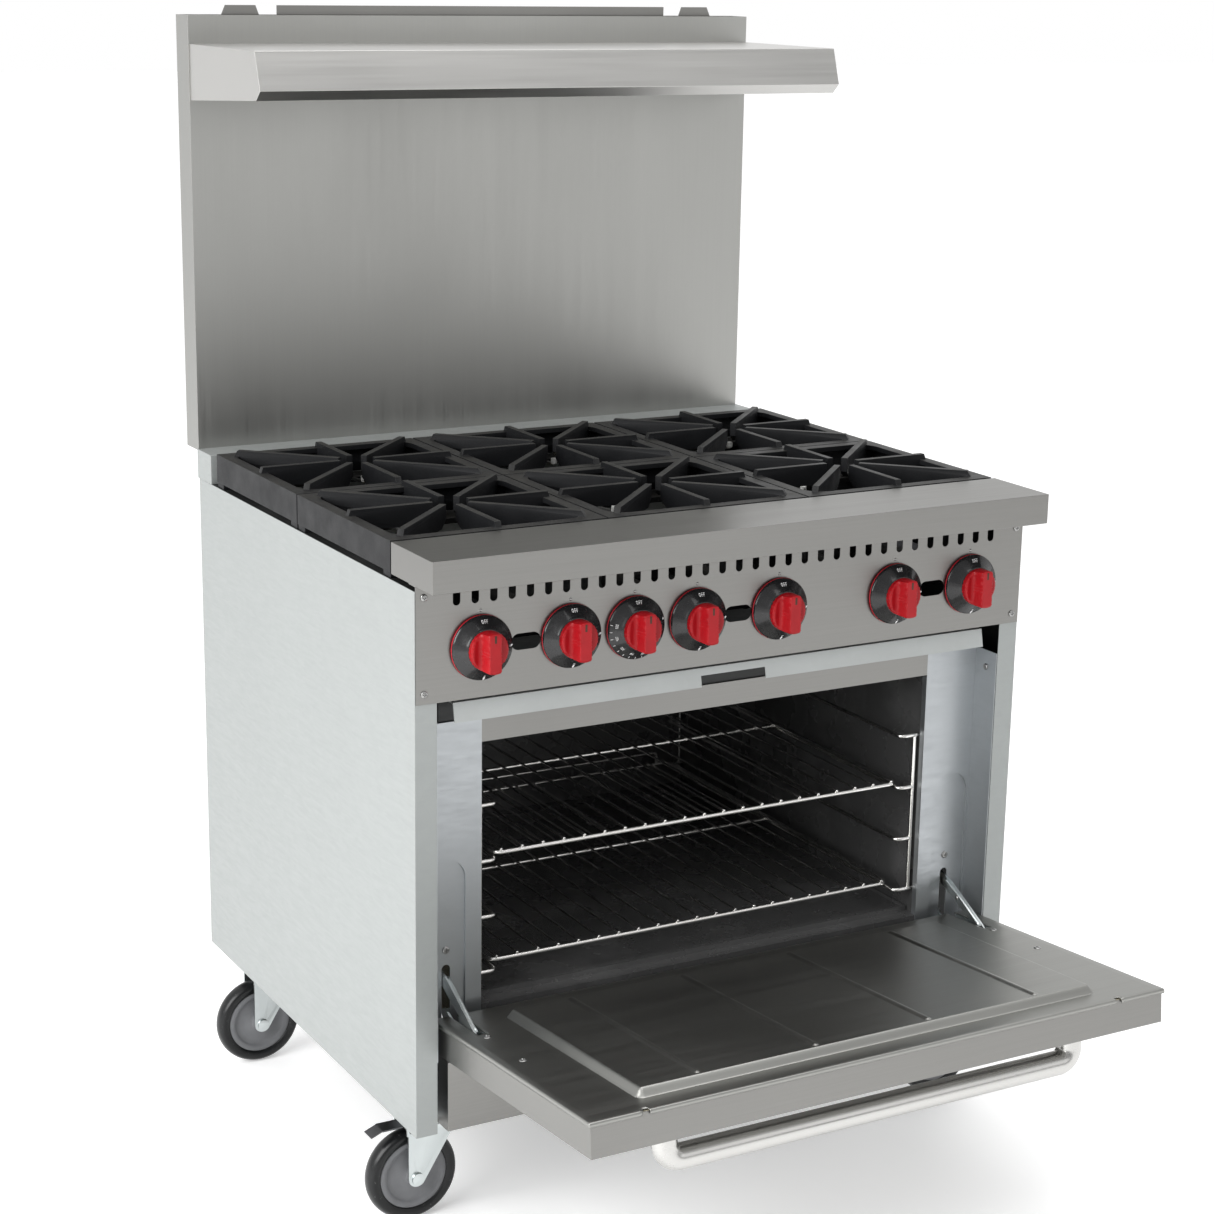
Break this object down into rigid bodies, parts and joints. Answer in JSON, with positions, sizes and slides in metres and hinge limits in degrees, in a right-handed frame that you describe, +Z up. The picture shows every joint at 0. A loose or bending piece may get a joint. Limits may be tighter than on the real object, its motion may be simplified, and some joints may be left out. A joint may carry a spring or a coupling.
{
  "type": "commercial gas range",
  "caption": "Free-standing restaurant gas range with open burners, cast grates, an oven with a drop-down door, a tall backguard with a high shelf, and casters.",
  "frame": {"origin": "on the floor, under the middle of the range's footprint with the oven door open", "axes": "+X to the right seen from the front, +Y to the back, +Z up"},
  "size_m": [0.971, 1.1778, 1.5391],
  "materials": {
    "stainless": "brushed stainless sheet",
    "galvanised_panel": "smooth pale galvanised sheet",
    "galvanised": "smooth zinc-coated sheet",
    "cast_iron": "satin black cast iron",
    "zinc_plate": "bright zinc plate",
    "steel_pipe": "dark steel pipe",
    "brass": "machined brass",
    "black_enamel": "glossy black enamel on steel",
    "mineral_wool": "mineral wool batt",
    "chrome_wire": "bright chrome wire",
    "red_plastic": "red grip on a black skirt",
    "caster_tyre": "black rubber tyre on a grey hub"
  },
  "bodies": {
    "range_body": {"side_panel_left": "galvanised_panel", "side_panel_right": "galvanised_panel", "rear_panel": "galvanised_panel", "base_frame": "galvanised", "kick_plate": "stainless", "hinge_posts": "galvanised", "oven_header": "stainless", "control_panel": "stainless", "front_ledge": "stainless", "top_frame": "cast_iron", "rear_riser": "galvanised_panel", "backguard": "stainless", "flue_baffle": "stainless", "high_shelf": "stainless", "gas_manifold": "steel_pipe", "gas_valves": "brass", "burners": "cast_iron", "pilots": "galvanised", "oven_liner": "black_enamel", "oven_insulation": "mineral_wool", "oven_floor": "black_enamel", "oven_burner": "cast_iron", "rack_guides": "chrome_wire", "panel_screws": "zinc_plate", "caster_plates": "zinc_plate", "hinge_claws": "zinc_plate"},
    "door": {"door_shell": "stainless", "door_liner": "stainless", "door_insulation": "mineral_wool", "door_handle": "stainless", "door_screws": "zinc_plate", "hinge_channels": "zinc_plate"},
    "grate_front_left": {"grate_front_left": "cast_iron"},
    "grate_front_middle": {"grate_front_middle": "cast_iron"},
    "grate_front_right": {"grate_front_right": "cast_iron"},
    "grate_rear_left": {"grate_rear_left": "cast_iron"},
    "grate_rear_middle": {"grate_rear_middle": "cast_iron"},
    "grate_rear_right": {"grate_rear_right": "cast_iron"},
    "stay_arm_left": {"stay_arm_left": "zinc_plate"},
    "stay_arm_right": {"stay_arm_right": "zinc_plate"},
    "knob_left_front": {"knob_left_front": "red_plastic"},
    "knob_left_rear": {"knob_left_rear": "red_plastic"},
    "knob_oven": {"knob_oven": "red_plastic"},
    "knob_middle_front": {"knob_middle_front": "red_plastic"},
    "knob_middle_rear": {"knob_middle_rear": "red_plastic"},
    "knob_right_front": {"knob_right_front": "red_plastic"},
    "knob_right_rear": {"knob_right_rear": "red_plastic"},
    "fork_front_left": {"fork_front_left": "zinc_plate"},
    "fork_front_right": {"fork_front_right": "zinc_plate"},
    "fork_rear_left": {"fork_rear_left": "zinc_plate"},
    "fork_rear_right": {"fork_rear_right": "zinc_plate"},
    "wheel_front_left": {"wheel_front_left": "caster_tyre"},
    "wheel_front_right": {"wheel_front_right": "caster_tyre"},
    "wheel_rear_left": {"wheel_rear_left": "caster_tyre"},
    "wheel_rear_right": {"wheel_rear_right": "caster_tyre"},
    "brake_left": {"brake_left": "zinc_plate"},
    "brake_right": {"brake_right": "zinc_plate"},
    "crumb_tray": {"crumb_tray": "galvanised_panel"},
    "rack_upper": {"rack_upper": "chrome_wire"},
    "rack_lower": {"rack_lower": "chrome_wire"}
  },
  "joints": [
    {"name": "door_hinge", "type": "hinge", "parent": "range_body", "child": "door", "pos_m": [0, -0.18101, 0.2797], "axis": [-1, 0, 0], "range_deg": [0, 84.85]},
    {"name": "stay_arm_left_pivot", "type": "hinge", "parent": "door", "child": "stay_arm_left", "pos_m": [-0.395, -0.24739, 0.30074], "axis": [-1, 0, 0], "range_deg": [-50.4, 0]},
    {"name": "stay_arm_right_pivot", "type": "hinge", "parent": "door", "child": "stay_arm_right", "pos_m": [0.395, -0.24739, 0.30074], "axis": [-1, 0, 0], "range_deg": [-50.4, 0]},
    {"name": "rack_upper_slide", "type": "slide", "parent": "range_body", "child": "rack_upper", "axis": [0, 1, 0], "range_m": [-0.32, 0]},
    {"name": "rack_lower_slide", "type": "slide", "parent": "range_body", "child": "rack_lower", "axis": [0, 1, 0], "range_m": [-0.32, 0]},
    {"name": "crumb_tray_slide", "type": "slide", "parent": "range_body", "child": "crumb_tray", "axis": [0, 1, 0], "range_m": [-0.45, 0]},
    {"name": "grate_front_left_lift", "type": "slide", "parent": "range_body", "child": "grate_front_left", "axis": [0, 0, 1], "range_m": [0, 0.1]},
    {"name": "grate_front_middle_lift", "type": "slide", "parent": "range_body", "child": "grate_front_middle", "axis": [0, 0, 1], "range_m": [0, 0.1]},
    {"name": "grate_front_right_lift", "type": "slide", "parent": "range_body", "child": "grate_front_right", "axis": [0, 0, 1], "range_m": [0, 0.1]},
    {"name": "grate_rear_left_lift", "type": "slide", "parent": "range_body", "child": "grate_rear_left", "axis": [0, 0, 1], "range_m": [0, 0.1]},
    {"name": "grate_rear_middle_lift", "type": "slide", "parent": "range_body", "child": "grate_rear_middle", "axis": [0, 0, 1], "range_m": [0, 0.1]},
    {"name": "grate_rear_right_lift", "type": "slide", "parent": "range_body", "child": "grate_rear_right", "axis": [0, 0, 1], "range_m": [0, 0.1]},
    {"name": "knob_left_front_turn", "type": "hinge", "parent": "range_body", "child": "knob_left_front", "pos_m": [-0.369, -0.20161, 0.797], "axis": [0, -1, 0], "range_deg": [0, 180]},
    {"name": "knob_left_rear_turn", "type": "hinge", "parent": "range_body", "child": "knob_left_rear", "pos_m": [-0.245, -0.20161, 0.797], "axis": [0, -1, 0], "range_deg": [0, 180]},
    {"name": "knob_oven_turn", "type": "hinge", "parent": "range_body", "child": "knob_oven", "pos_m": [-0.1535, -0.20161, 0.797], "axis": [0, -1, 0], "range_deg": [0, 270]},
    {"name": "knob_middle_front_turn", "type": "hinge", "parent": "range_body", "child": "knob_middle_front", "pos_m": [-0.062, -0.20161, 0.797], "axis": [0, -1, 0], "range_deg": [0, 180]},
    {"name": "knob_middle_rear_turn", "type": "hinge", "parent": "range_body", "child": "knob_middle_rear", "pos_m": [0.062, -0.20161, 0.797], "axis": [0, -1, 0], "range_deg": [0, 180]},
    {"name": "knob_right_front_turn", "type": "hinge", "parent": "range_body", "child": "knob_right_front", "pos_m": [0.245, -0.20161, 0.797], "axis": [0, -1, 0], "range_deg": [0, 180]},
    {"name": "knob_right_rear_turn", "type": "hinge", "parent": "range_body", "child": "knob_right_rear", "pos_m": [0.369, -0.20161, 0.797], "axis": [0, -1, 0], "range_deg": [0, 180]},
    {"name": "swivel_front_left", "type": "hinge", "parent": "range_body", "child": "fork_front_left", "pos_m": [-0.388, -0.10661, 0.1372], "axis": [0, 0, 1], "continuous": true},
    {"name": "axle_front_left", "type": "hinge", "parent": "fork_front_left", "child": "wheel_front_left", "pos_m": [-0.422, -0.10661, 0.0635], "axis": [0, 1, 0], "continuous": true},
    {"name": "swivel_front_right", "type": "hinge", "parent": "range_body", "child": "fork_front_right", "pos_m": [0.388, -0.10661, 0.1372], "axis": [0, 0, 1], "continuous": true},
    {"name": "axle_front_right", "type": "hinge", "parent": "fork_front_right", "child": "wheel_front_right", "pos_m": [0.422, -0.10661, 0.0635], "axis": [0, 1, 0], "continuous": true},
    {"name": "swivel_rear_left", "type": "hinge", "parent": "range_body", "child": "fork_rear_left", "pos_m": [-0.388, 0.44039, 0.1372], "axis": [0, 0, 1], "continuous": true},
    {"name": "axle_rear_left", "type": "hinge", "parent": "fork_rear_left", "child": "wheel_rear_left", "pos_m": [-0.422, 0.44039, 0.0635], "axis": [0, 1, 0], "continuous": true},
    {"name": "swivel_rear_right", "type": "hinge", "parent": "range_body", "child": "fork_rear_right", "pos_m": [0.388, 0.44039, 0.1372], "axis": [0, 0, 1], "continuous": true},
    {"name": "axle_rear_right", "type": "hinge", "parent": "fork_rear_right", "child": "wheel_rear_right", "pos_m": [0.422, 0.44039, 0.0635], "axis": [0, 1, 0], "continuous": true},
    {"name": "brake_left_pedal", "type": "hinge", "parent": "fork_front_left", "child": "brake_left", "pos_m": [-0.43, -0.10661, 0.1312], "axis": [0, -1, 0], "range_deg": [0, 10]},
    {"name": "brake_right_pedal", "type": "hinge", "parent": "fork_front_right", "child": "brake_right", "pos_m": [0.43, -0.10661, 0.1312], "axis": [0, 1, 0], "range_deg": [0, 10]}
  ],
  "couplings": [
    {"joint": "stay_arm_left_pivot", "follows": "door_hinge", "ratio": -0.5934},
    {"joint": "stay_arm_right_pivot", "follows": "door_hinge", "ratio": -0.5934}
  ]
}
